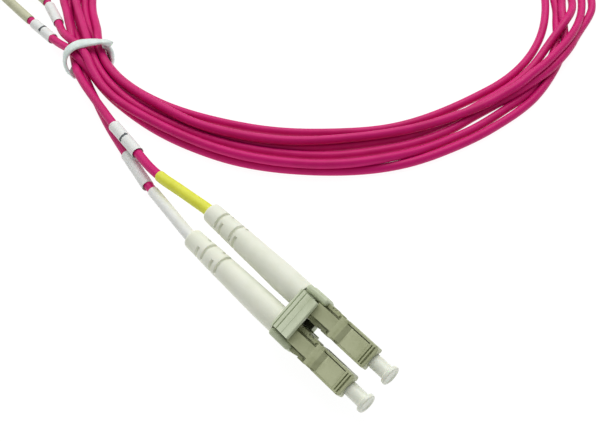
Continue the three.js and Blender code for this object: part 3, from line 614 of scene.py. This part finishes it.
# ------------------------------------------------------------------ boots: soft, tapered, with four slots each
def boot(end, side):
    m = own(end, side)
    end_ = -45.15 if side == "a" else -44.5
    outer = [(2.3, -17.85), (2.62, -17.85), (2.66, -23.5), (2.5, -30), (2.3, -38), (2.08, end_ + 0.4), (1.98, end_), (1.35, end_), (1.35, -30), (2.3, -28.6)]
    prof = rounded(outer, [0.1, 0.16, 3, 3, 3, 0.22, 0.2, 0.12, 0, 0], 5)
    # fine rings where the slots are
    rings = []
    for i, p in enumerate(prof):
        q = prof[(i + 1) % len(prof)]
        rings.append(p)
        if p[0] > 1.9 and q[0] > 1.9 and q[1] < -30.2 and p[1] > q[1] and p[1] - q[1] > 1:
            n = int((p[1] - q[1]) / 0.075)
            rings += [p + (q - p) * k / n for k in range(1, n)]
    if side == "a":
        slots = [(-41.4, -58, 96), (-41.4, -200, -80), (-40.1, -142, -2), (-40.1, 64, 196), (-37.0, -58, 96), (-37.0, -200, -80), (-35.8, -142, -4), (-35.8, 60, 196)]
    else:
        slots = [(-40.6, -142, -4), (-40.6, 62, 196), (-38.95, -52, 98), (-38.95, -200, -80), (-36.3, -142, -4), (-36.3, 62, 196), (-34.7, -52, 98), (-34.7, -200, -80)]

    def shift(a, r, y):
        if r < 1.9:
            return 0.0
        deg_ = -math.degrees(a)
        s = 0.0
        for yc, a0, a1 in slots:
            mid, half = (a0 + a1) / 2, (a1 - a0) / 2
            d = abs((deg_ - mid + 180) % 360 - 180)
            e = min(1, max(0, (half - d) / 4.0))
            w = abs(y - yc)
            g = min(1, max(0, (0.36 - w) / 0.13))
            s = min(s, -0.50 * e * g)
            lip = math.exp(-((w - 0.48) / 0.12) ** 2) * 0.04 * e
            s = s + lip if s > -0.01 else s
        return s

    v, f = lathe(rings, 96, shift)
    # a little out of round, as soft mouldings are
    v = np.array(v)
    wob = 1 + 0.006 * np.sin(v[:, 1] * 0.7 + (0 if side == "a" else 2))
    v[:, 0] *= wob
    return add(f"{end}_boot_{side}_shell", place(v, m), turn_out(v, f), "boot_plastic", "root", sharp=42, replaces=(f"{end}_boot_{side}",))


def dust_cap(end, side):
    m = own(end, side)
    prof = [(0, 4.02), (1.2, 4.02), (1.45, 4.2), (1.73, 4.2), (1.88, 4.05), (1.88, 3.50), (1.73, 3.35), (1.375, 3.35), (1.36, -3.5), (1.30, -3.6), (0.88, -3.6), (0.88, 2.6), (0, 2.6)]
    core = prof[1:-1]
    rp = rounded([prof[0]] + core + [prof[-1]], [0, 0.1, 0.12, 0.12, 0.15, 0.15, 0.1, 0.28, 0.05, 0.05, 0.05, 0.1, 0], 5)
    rp[0] = np.array([0.0, 4.02])
    rp[-1] = np.array([0.0, 2.6])
    v, f = lathe(rp, 56)
    f = [q for q in f if len(set(q)) == len(q)]
    return add(f"{end}_dust_cap_{side}_shell", place(v, m), turn_out(v, f), "cap_plastic", f"{end}_cap_{side}", sharp=50, replaces=(f"{end}_dust_cap_{side}",))


# ------------------------------------------------------------------ housing, latch arm
def housing(end, side):
    o = from_cad(f"{end}_housing_{side}", f"{end}_housing_{side}_shell", back_to_own(end, side))
    cuts = []
    # two deep grooves across the front block, which slopes down ahead of them
    cuts.append(brick(-1.86, 1.86, -0.84, -0.58, 1.74, 3))
    cuts.append(brick(-1.86, 1.86, -1.40, -1.14, 1.74, 3))
    cuts.append(slab([(0.2, 2.6), (0.2, 2.0), (-0.62, 2.12), (-0.62, 2.6)], -3, 3))
    for k in (-1, 1):
        # shallow step along each side of the rear block
        cuts.append(brick(*sorted((k * 2.16, k * 3.0)), -13.6, -12.9, 0.9, 3))
    combine(o, cuts, "DIFFERENCE")
    soften(o, 0.11, 2, 32, pick=lambda c, d: abs(d.y) > 0.95 and abs(c.x) > 2.1 and abs(c.z) > 2.1, wide=0.24, wide_segs=3)
    fins = []
    for k in (-1, 1):
        x0, x1 = sorted((k * 1.95, k * 2.34))
        fins.append(slab(rounded([(-10.35, 0.2), (-8.9, 0.2), (-8.6, 0.5), (-8.6, 1.85), (-8.8, 2.05), (-10.35, 2.05)], 0.12, 3), x0, x1))
        x0, x1 = sorted((k * 1.95, k * 2.20))
        fins.append(slab(rounded([(-11.32, -0.6), (-10.75, -0.6), (-10.75, 1.9), (-11.32, 1.9)], 0.1, 2), x0, x1))
        # ledge beside the narrow rear of the arm
        x0, x1 = sorted((k * 1.30, k * 2.0))
        fins.append(slab([(-11.6, 0.9), (-8.60, 0.9), (-8.60, 1.98), (-11.6, 2.02)], x0, x1))
    bm = bmesh.new()
    bm.from_mesh(o.data)
    for vv, ff in fins:
        base = [bm.verts.new(Vector(v) * MM) for v in vv]
        for q in ff:
            bm.faces.new([base[i] for i in q])
    bm.to_mesh(o.data)
    bm.free()
    o.data.materials.append(MAT["olive_plastic"])
    to_place(o, own(end, side))
    done(o, "root", (f"{end}_housing_{side}",))
    return o


def latch_arm(end, side):
    m = own(end, side)
    top = [(-1.82, 2.22), (-2.6, 2.26), (-5.75, 2.30), (-6.05, 2.20), (-6.95, 2.95), (-8.4, 3.04), (-13.2, 3.92)]
    bottom = [(-13.2, 3.3), (-8.7, 2.5), (-7.3, 1.98), (-6.6, 1.88), (-2.6, 1.74), (-1.82, 1.78)]
    line = rounded(top + bottom, [0.04, 0.4, 0.1, 0.1, 0.25, 1.5, 0.12, 0.1, 0.5, 0.4, 0.5, 0.3, 0.1], 3)
    o = temp(*slab(line, -1.66, 1.83))
    o.name = f"{end}_latch_arm_{side}_shell"
    for k in (-1, 1):
        combine(o, [brick(*sorted((k * 1.24, k * 3)), -14, -8.5, 0, 6)], "DIFFERENCE")
    sh = rounded([(-6.98, 2.42), (-6.98, 2.80), (-7.7, 3.0), (-8.5, 3.07), (-8.5, 2.5)], [0.05, 0.2, 0.2, 0.08, 0.05], 3)
    combine(o, [slab(sh, -2.15, 2.15)], "UNION")
    soften(o, 0.07, 2, 30)
    o.data.materials.append(MAT["olive_plastic"])
    to_place(o, m)
    done(o, f"{end}_latch_{side}", (f"{end}_latch_arm_{side}",))
    return o


# ------------------------------------------------------------------ clip
def pod(x0, x1, y0, y1, z0, z1, r, n=6):
    """Box with all its edges rounded: a ball's shell pulled apart."""
    c = np.array(((x0 + x1) / 2, (y0 + y1) / 2, (z0 + z1) / 2))
    h = np.array((x1 - x0, y1 - y0, z1 - z0)) / 2 - r
    bm = bmesh.new()
    bmesh.ops.create_cube(bm, size=2.0)
    bmesh.ops.subdivide_edges(bm, edges=bm.edges[:], cuts=2 * n - 1, use_grid_fill=True)
    bm.verts.index_update()
    verts = []
    for v in bm.verts:
        d = np.array(v.co)
        s_ = np.where(np.abs(d) < 1e-6, 0, np.sign(d))
        u = d / np.linalg.norm(d)
        verts.append(c + s_ * h + u * r if np.all(s_ != 0) else c + s_ * h + u * r)
    faces = [tuple(v.index for v in f.verts) for f in bm.faces]
    bm.free()
    return np.array(verts), turn_out(verts, faces)


def clip_body(end):
    o = from_cad(f"{end}_clip_body", f"{end}_clip_body_shell", back_to_own(end))
    # open web between the two connectors, and room for the rounded ears
    cuts = [brick(-0.62, 0.62, -15.6, -11, -1.2, 4), brick(-0.62, 0.62, -13.1, -11, -5, 4)]
    for k in (-1, 1):
        cuts.append(brick(*sorted((k * 4.3, k * 7.0)), -17.6, -11.0, 0.75, 4))
        cuts.append(brick(*sorted((k * 5.72, k * 7.0)), -17.6, -11.0, -4, 4))
    combine(o, cuts, "DIFFERENCE")
    soften(o, 0.13, 3, 32)
    bm = bmesh.new()
    bm.from_mesh(o.data)
    for k in (-1, 1):
        x0, x1 = sorted((k * 4.36, k * 5.80))
        shapes = [pod(x0, x1, -17.32, -12.15, -0.4, 3.5, 0.62)]
        # collar along the foot of the ear
        x0, x1 = sorted((k * 5.0, k * 5.92))
        shapes.append(pod(x0, x1, -17.1, -12.7, -0.3, 1.05, 0.3, 3))
        for vv, ff in shapes:
            t = temp(vv, ff)
            # nothing of it inside the connector
            combine(t, [brick(*sorted((k * 3.0, k * 5.44)), -18.5, -10.0, -3, 2.40)], "DIFFERENCE")
            for f in t.data.polygons:
                f.use_smooth = True
            bm.from_mesh(t.data)
            bpy.data.objects.remove(t, do_unlink=True)
    bm.to_mesh(o.data)
    bm.free()
    o.data.materials.append(MAT["clip_plastic"])
    o.data.materials.append(MAT["pocket_shade_plastic"])
    # painted shade: the walls and floor of the pocket between the connectors are coloured near black
    for f in o.data.polygons:
        c = f.center / MM
        if abs(c.x) < 0.9 and -15.9 < c.y < -12.0 and -1.6 < c.z < 2.2:
            f.material_index = 1
    to_place(o, own(end))
    done(o, "root", (f"{end}_clip_body",))
    return o


def trigger(end):
    def z(y, off=0.0):
        return 4.15 + (y + 17.35) * (5.0 - 4.15) / (17.35 - 12.97) + off
    top = [(-17.5, 3.98), (-17.35, 4.13)]
    for y0, y1, dp in ((-17.02, -16.78, 0.2), (-16.08, -15.84, 0.22)):
        top += [(y0, z(y0)), (y0 + 0.06, z(y0, -dp)), (y1 - 0.06, z(y1, -dp)), (y1, z(y1))]
    top += [(-14.62, z(-14.62)), (-14.5, z(-14.5, -0.055)), (-13.42, z(-13.42, -0.055)), (-13.3, z(-13.3, 0.01)), (-12.97, 5.0), (-12.85, 4.88)]
    bottom = [(-12.85, 4.2), (-16.3, 3.62), (-16.6, 3.3), (-17.5, 3.3)]
    line = rounded(top + bottom, [0.08] * 2 + [0.03] * 8 + [0.03] * 4 + [0.08] * 2 + [0.06] * 4, 3)
    o = temp(*slab(line, -4.1, 4.1))
    o.name = f"{end}_clip_trigger_shell"
    soften(o, 0.07, 2, 30)
    o.data.materials.append(MAT["clip_plastic"])
    to_place(o, own(end))
    done(o, f"{end}_trigger", (f"{end}_clip_trigger",))
    return o


# ------------------------------------------------------------------ sleeves, label tubes
def sleeve(end, side, y0, y1, slot_):
    q = portion(side, y0, y1, end == "near")
    prof = rounded([(0.0, 1.06), (0.0, 1.2), (0.015, 1.225), (0.985, 1.225), (1.0, 1.2), (1.0, 1.06)], 0, 1)
    mids = [(x, 1.205) for x in np.linspace(0.03, 0.97, 26)]
    prof = [(0.0, 1.06), (0.0, 1.17), (0.012, 1.215)] + mids + [(0.988, 1.215), (1.0, 1.17), (1.0, 1.06)] + [(x, 1.04) for x in np.linspace(0.97, 0.03, 26)]
    sd = 0.0 if side == "a" else 1.7

    def bulge(a, x):
        return 0.012 * math.sin(9 * x + sd) + 0.010 * math.sin(2 * a + 5 * x + sd)
    v, f = pipe(q, prof, 40, bulge)
    return add(f"{end}_id_sleeve_{side}_tube", v, turn_out(v, f), slot_, "root", sharp=50, replaces=(f"{end}_id_sleeve_{side}",))


LABEL = {  # centre, direction, half length
    ("near", "a"): ((-3.483, -55.691, 3.83), (0.11665, 0.99163, 0.05535), 5.6),
    ("near", "b"): ((-0.946, -48.281, 1.555), (0.18317, 0.98302, 0.01092), 5.45),
    ("far", "a"): ((-11.216, -104.018, 1.595), (-0.02297, 0.99974, -0.00047), 4.2),
    ("far", "b"): ((-16.854, -108.309, 1.599), (0.26491, 0.96421, -0.01082), 4.04),
}
DIGIT = {  # strokes on a 2 x 3 grid, as (x0, y0, x1, y1)
    "1": [(0.5, 0, 0.5, 3), (0.5, 3, 0.1, 2.45), (0.1, 0, 0.9, 0)],
    "2": [(0, 2.6, 0.35, 3), (0.35, 3, 0.9, 3), (0.9, 3, 1.2, 2.6), (1.2, 2.6, 1.2, 2.0), (1.2, 2.0, 0, 0), (0, 0, 1.2, 0)],
}


def label(end, side):
    c, d, h = LABEL[(end, side)]
    c, d = np.array(c), np.array(d)
    d /= np.linalg.norm(d)
    q = [c + d * t for t in np.linspace(-h, h, 24)]
    prof = [(0.0, 1.27), (0.0, 1.325), (0.01, 1.35)] + [(x, 1.345) for x in np.linspace(0.03, 0.97, 22)] + [(0.99, 1.35), (1.0, 1.325), (1.0, 1.27)] + [(x, 1.26) for x in np.linspace(0.97, 0.03, 22)]
    sd = {"a": 0.4, "b": 2.1}[side]

    def bulge(a, x):
        flat = 0.015 * math.cos(2 * (a - sd))
        end_ = 0.02 * (math.exp(-x / 0.05) + math.exp(-(1 - x) / 0.05)) * math.cos(2 * a + sd)
        return flat * 0.5 + end_ + 0.006 * math.sin(14 * x + sd)
    v, f = pipe(q, prof, 48, bulge)
    o = add(f"{end}_label_{side}_tube", v, turn_out(v, f), "label_white", f"{end}_label_{side}", sharp=50, replaces=(f"{end}_label_tube_{side}",))
    if side == "b":
        return o
    # plain number, raised a hair from the tube
    upv = np.array((0.0, 0.0, 1.0)) if end == "far" else np.array((0.43, 0.10, 0.9))
    n = upv - d * (upv @ d)
    n /= np.linalg.norm(n)
    w = np.cross(d, n)
    verts, faces = [], []
    size = 0.74

    def pt(x, y, lift):
        # x runs along the tube, y round it
        along = (x - 0.6) * size
        ang = (1.5 - y) * size / 1.36
        r = 1.36 + lift
        return c + d * along + r * (math.cos(ang) * n + math.sin(ang) * w)
    for x0, y0, x1, y1 in DIGIT["1" if side == "a" else "2"]:
        L_ = math.hypot(x1 - x0, y1 - y0)
        ux, uy = (x1 - x0) / L_, (y1 - y0) / L_
        tx, ty = -uy * 0.36, ux * 0.36
        steps = max(3, int(L_ * 6))
        k0 = len(verts)
        for i in range(steps + 1):
            t = (i / steps) * (L_ + 0.36) - 0.18
            px, py = x0 + ux * t, y0 + uy * t
            for s in (-1, 1):
                for lift in (-0.03, 0.035):
                    verts.append(pt(px + s * tx, py + s * ty, lift))
        for i in range(steps):
            a0, b0 = k0 + 4 * i, k0 + 4 * (i + 1)
            faces += [(a0 + 1, b0 + 1, b0 + 3, a0 + 3), (a0, a0 + 2, b0 + 2, b0), (a0, b0, b0 + 1, a0 + 1), (a0 + 2, a0 + 3, b0 + 3, b0 + 2)]
        e0 = k0 + 4 * steps
        faces += [(k0, k0 + 1, k0 + 3, k0 + 2), (e0, e0 + 2, e0 + 3, e0 + 1)]
    add(f"{end}_label_{side}_number", verts, faces, "label_white", f"{end}_label_{side}", mat=INK, sharp=40)
    return o


# ------------------------------------------------------------------ twist tie
def tie():
    cen = np.array((-14.45, -89.2, 2.8))
    ty = np.array((0.2840, 0.9588, 0))
    # pointed tail, over the bundle, down its left side, under it and up as a loop on the right
    path = smooth_open(np.array([-18.45, -84.11, 4.60, -18.04, -84.48, 5.20, -17.54, -85.01, 5.60, -16.71, -85.84, 5.85, -15.34, -86.75, 5.95, -13.92, -87.62, 5.95, -12.62, -88.26, 5.90, -11.42, -88.62, 5.75, -10.24, -88.87, 5.30, -9.30, -89.03, 4.50, -8.63, -88.88, 3.50, -8.14, -88.36, 2.50, -7.84, -87.48, 1.60, -7.87, -86.56, 0.85, -8.33, -85.98, 0.40, -11.66, -88.57, 0.22, -14.00, -88.39, 0.22, -16.42, -88.10, 0.22, -18.33, -87.43, 0.27, -17.70, -84.52, 0.63, -17.99, -84.48, 1.98, -17.91, -84.63, 3.40, -17.37, -84.87, 4.60]).reshape(-1, 3), 8)
    # flat strip with a wire down its middle
    half = [(-1.42, 0.0), (-1.34, 0.26), (-1.05, 0.44), (-0.6, 0.5), (-0.3, 0.6), (0.0, 0.64), (0.3, 0.6), (0.6, 0.5), (1.05, 0.44), (1.34, 0.26), (1.42, 0.0), (1.34, -0.16), (1.05, -0.24), (0.5, -0.27), (0.0, -0.3), (-0.5, -0.27), (-1.05, -0.24), (-1.34, -0.16)]
    t = np.gradient(path, axis=0)
    t /= np.linalg.norm(t, axis=1)[:, None]
    verts, faces = [], []
    n_ = len(path)
    for i, p in enumerate(path):
        out = p - cen
        out -= ty * (out @ ty)
        out -= t[i] * (out @ t[i])
        out /= np.linalg.norm(out)
        wd = np.cross(t[i], out)
        s = i / (n_ - 1)
        ang = 0.0
        if s > 0.93:
            ang = (s - 0.93) / 0.07 * 0.8
        o2, w2 = out * math.cos(ang) + wd * math.sin(ang), wd * math.cos(ang) - out * math.sin(ang)
        taper = 0.18 + 0.82 * min(1, s / 0.09)
        low = min(1, max(0.3, (p[2] - 0.3) / 0.8 + 0.3))
        # the strip is folded double on the left side
        left = min(1, max(0, (cen[0] - p[0] - 2.2) / 1.6))
        for x, y in half:
            q = p + w2 * x * taper * (1 + 0.30 * left) + o2 * y * low * (1 + 1.15 * left if y > 0 else 1)
            # flat where it lies on the floor
            q[2] = max(q[2], 0.02 + 0.0004 * (x + 2))
            verts.append(q)
    m = len(half)
    for i in range(n_ - 1):
        for k in range(m):
            j = (k + 1) % m
            faces.append((i * m + k, i * m + j, (i + 1) * m + j, (i + 1) * m + k))
    faces.append(tuple(range(m)))
    faces.append(tuple(reversed(range((n_ - 1) * m, n_ * m))))
    return add("twist_tie_strip", verts, turn_out(verts, faces), "tie_plastic", "root", sharp=50, replaces=("twist_tie",))


def smooth_open(p, n):
    q = np.vstack([2 * p[0] - p[1], p, 2 * p[-1] - p[-2]])
    out = []
    for i in range(1, len(q) - 2):
        a, b, c, d = q[i - 1], q[i], q[i + 1], q[i + 2]
        for k in range(n):
            t = k / n
            out.append(0.5 * (2 * b + (c - a) * t + (2 * a - 5 * b + 4 * c - d) * t * t + (3 * b - a - 3 * c + d) * t ** 3))
    out.append(p[-1])
    return np.array(out)


# ------------------------------------------------------------------ build
BUILT = {}
for end in ("near", "far"):
    for side in ("a", "b"):
        BUILT[f"{end}_boot_{side}"] = boot(end, side)
        BUILT[f"{end}_dust_cap_{side}"] = dust_cap(end, side)
        BUILT[f"{end}_housing_{side}"] = housing(end, side)
        BUILT[f"{end}_latch_arm_{side}"] = latch_arm(end, side)
        BUILT[f"{end}_label_{side}"] = label(end, side)
    BUILT[f"{end}_clip_body"] = clip_body(end)
    BUILT[f"{end}_clip_trigger"] = trigger(end)
BUILT["near_id_sleeve_a"] = sleeve("near", "a", -22.0, -41.3, "sleeve_yellow")
BUILT["near_id_sleeve_b"] = sleeve("near", "b", -22.0, -41.1, "sleeve_white")
# the far sleeves take a light sleeve colour darkened for dimmer light: painted shade
BUILT["far_id_sleeve_a"] = sleeve("far", "a", -109.8, -125.6, "sleeve_khaki")
BUILT["far_id_sleeve_b"] = sleeve("far", "b", -113.5, -125.6, "sleeve_khaki")
BUILT["twist_tie"] = tie()

# carried-over nodes: turned metal and ceramic, with finer edges
for name, o in NODES.items():
    if o.hide_render:
        continue
    which = "ceramic" if "_ferrule_" in name and "holder" not in name else "steel"
    if not o.material_slots:
        o.data.materials.append(MAT[which])
    for s in o.material_slots:
        s.material = MAT[which]
    if "spring" not in name:
        md = o.modifiers.new("bevel", "BEVEL")
        md.width = 0.00005
        md.segments = 2
        md.limit_method = "ANGLE"
        md.angle_limit = math.radians(40)

# the parts on each cord, gathered into a list once they exist
for k, line in LINE.items():
    far = [BUILT[f"far_boot_{k}"], BUILT[f"far_dust_cap_{k}"], BUILT[f"far_housing_{k}"], BUILT[f"far_latch_arm_{k}"], BUILT[f"far_label_{k}"], BUILT[f"far_id_sleeve_{k}"],
           BUILT[f"near_label_{k}"], BUILT[f"near_id_sleeve_{k}"], NODES[f"far_ferrule_{k}"], NODES[f"far_ferrule_holder_{k}"], NODES[f"far_spring_{k}"], NODES[f"far_back_post_{k}"], NODES[f"far_crimp_ring_{k}"]]
    if k == "a":
        far += [BUILT["far_clip_body"], BUILT["far_clip_trigger"], BUILT["twist_tie"]]

# ------------------------------------------------------------------ floor and light
fm = bpy.data.materials.new("floor")
fm.use_nodes = True
nt = fm.node_tree
pb = nt.nodes["Principled BSDF"]
pb.inputs["Base Color"].default_value = (0.12, 0.12, 0.12, 1)
pb.inputs["Roughness"].default_value = 0.9
pb.inputs["Specular IOR Level"].default_value = 0.0
pb.inputs["Emission Color"].default_value = (1, 1, 1, 1)
pb.inputs["Emission Strength"].default_value = 0.94
me = bpy.data.meshes.new("floor")
me.from_pydata([(-0.9, -1.0, -0.00003), (0.8, -1.0, -0.00003), (0.8, 0.8, -0.00003), (-0.9, 0.8, -0.00003)], [], [(0, 1, 2, 3)])
floor = bpy.data.objects.new("floor", me)
me.materials.append(fm)
scene.collection.objects.link(floor)

world = bpy.data.worlds.new("world")
scene.world = world
world.use_nodes = True
world.node_tree.nodes["Background"].inputs[0].default_value = (1, 1, 1, 1)
world.node_tree.nodes["Background"].inputs[1].default_value = 0.40


def area(name, at, target, size, power, size_y=None):
    ld = bpy.data.lights.new(name, "AREA")
    ld.energy = power
    ld.size = size
    if size_y:
        ld.shape = "RECTANGLE"
        ld.size_y = size_y
    o = bpy.data.objects.new(name, ld)
    scene.collection.objects.link(o)
    o.location = at
    o.rotation_euler = (Vector(target) - Vector(at)).to_track_quat("-Z", "Y").to_euler()
    return o


area("key", (-0.50, -0.38, 0.85), (-0.05, -0.05, 0), 0.8, 8.0)
area("fill", (0.05, -0.75, 0.5), (-0.05, -0.05, 0), 0.6, 1.6)
